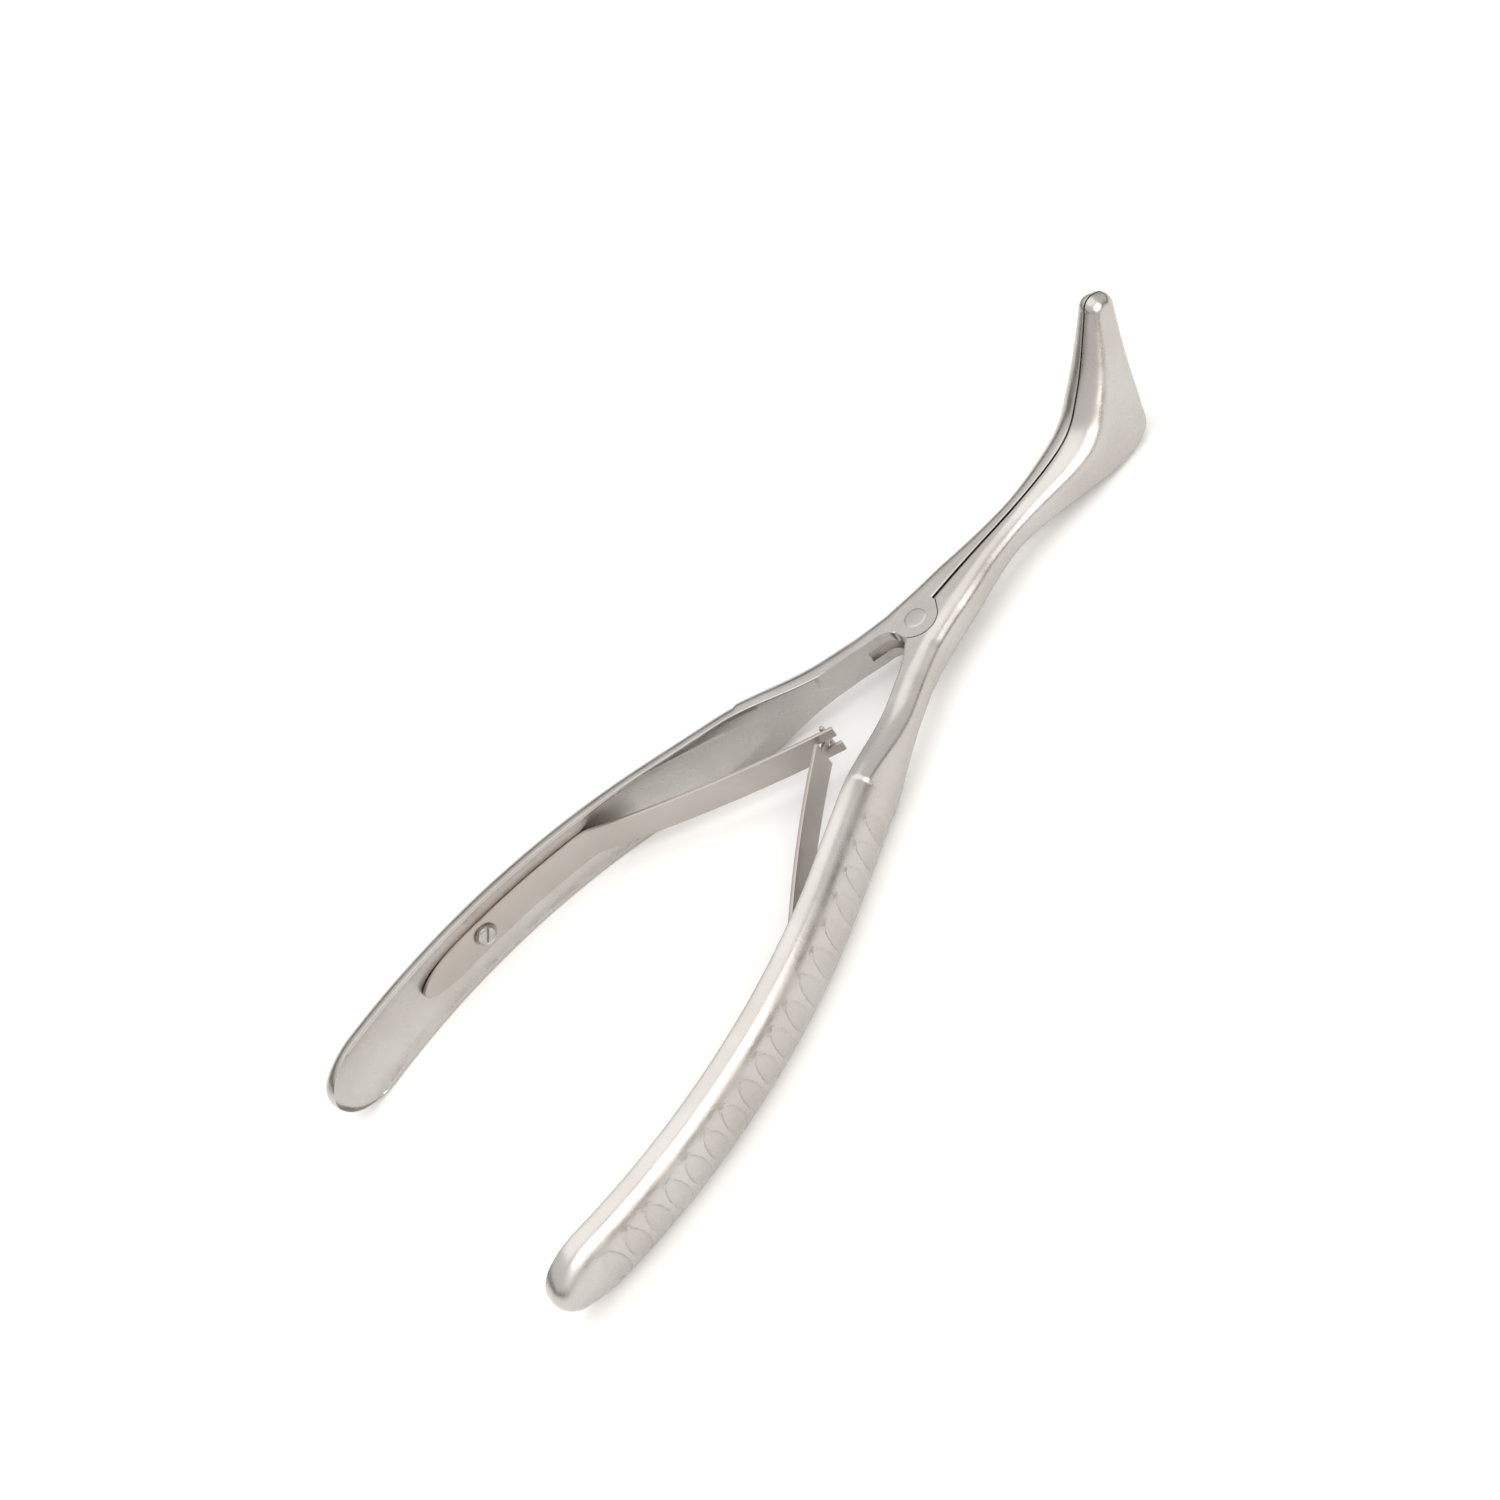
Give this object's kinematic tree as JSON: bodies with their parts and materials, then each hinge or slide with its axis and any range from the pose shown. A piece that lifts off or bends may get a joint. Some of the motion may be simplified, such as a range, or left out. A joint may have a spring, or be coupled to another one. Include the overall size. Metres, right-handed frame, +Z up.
{
  "type": "nasal speculum",
  "caption": "Hartmann-pattern nasal speculum in satin stainless steel, blades closed, with hooked leaf springs between bowed handles.",
  "frame": {"origin": "on the pivot axis, in the plane of the joint's lower cheek", "axes": "+X the way the right arm opens; +Y from the handles towards the blades; +Z up along the pivot, the way the blades' tips point"},
  "size_m": [0.0634, 0.1558, 0.0239],
  "materials": {
    "satin_steel": "satin",
    "spring_steel": "satin",
    "fastener_steel": "satin"
  },
  "bodies": {
    "left_handle_body": {"left_arm": "satin_steel", "pivot_pin": "fastener_steel", "left_leaf_root": "spring_steel", "left_screw": "fastener_steel"},
    "right_handle_body": {"right_arm": "satin_steel", "right_leaf_root": "spring_steel", "right_screw": "fastener_steel"},
    "left_leaf_body": {"left_leaf_fork": "spring_steel"},
    "right_leaf_body": {"right_leaf_hook": "spring_steel"}
  },
  "joints": [
    {"name": "pivot", "type": "hinge", "parent": "left_handle_body", "child": "right_handle_body", "pos_m": [0, 0, 0.0028], "axis": [0, 0, -1], "range_deg": [0, 18], "stiffness_Nm_per_rad": 0.8, "springref_deg": -17.19},
    {"name": "right_leaf_flex", "type": "hinge", "parent": "right_handle_body", "child": "right_leaf_body", "pos_m": [0.02353, -0.05278, 0.0028], "axis": [0, 0, -1], "range_deg": [0, 5.94]},
    {"name": "left_leaf_flex", "type": "hinge", "parent": "left_handle_body", "child": "left_leaf_body", "pos_m": [-0.02353, -0.05278, 0.0028], "axis": [0, 0, 1], "range_deg": [0, 5.94]}
  ],
  "couplings": [
    {"joint": "right_leaf_flex", "follows": "pivot", "ratio": 0.3136},
    {"joint": "left_leaf_flex", "follows": "pivot", "ratio": 0.3136}
  ]
}
